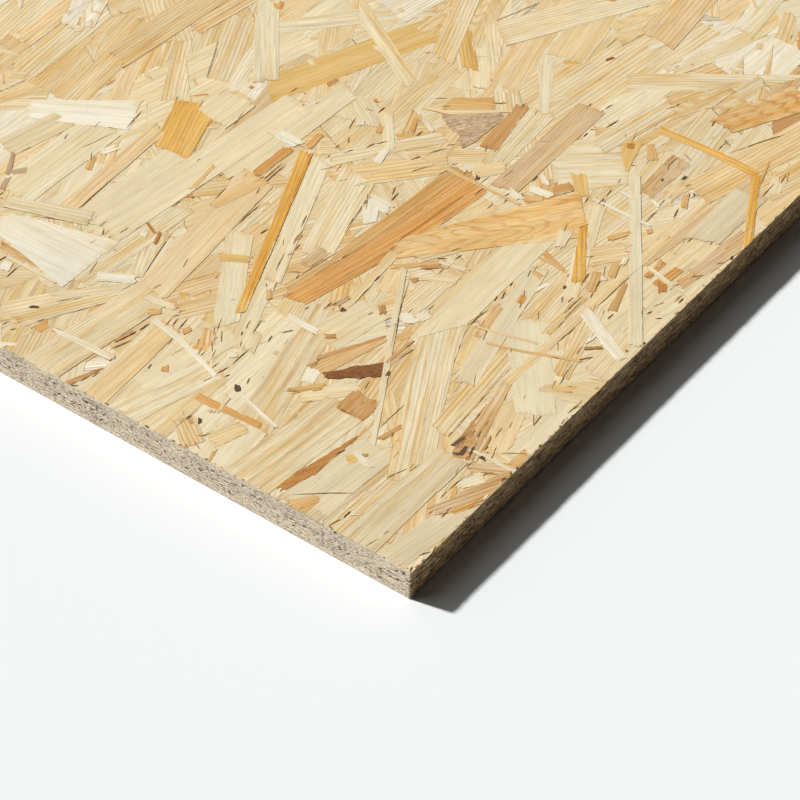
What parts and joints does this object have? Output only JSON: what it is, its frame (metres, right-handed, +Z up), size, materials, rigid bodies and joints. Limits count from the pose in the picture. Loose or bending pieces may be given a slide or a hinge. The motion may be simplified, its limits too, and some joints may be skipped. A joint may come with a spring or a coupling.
{
  "type": "oriented strand board panel",
  "caption": "Full sheet of oriented strand board with plain square-sawn edges, lying flat: large pressed wood strands on both faces, for decking, sheathing and boxes.",
  "frame": {"origin": "middle of the underside", "axes": "+X along the length, the way the face strands mostly lie, +Y across the width, +Z up out of the upper face"},
  "size_m": [2.5, 1.25, 0.018],
  "materials": {
    "osb": "unsanded, matt: pressed softwood strands in straw, cream and amber, with sawn edges"
  },
  "bodies": {
    "root": {"osb_panel": "osb"}
  },
  "joints": []
}
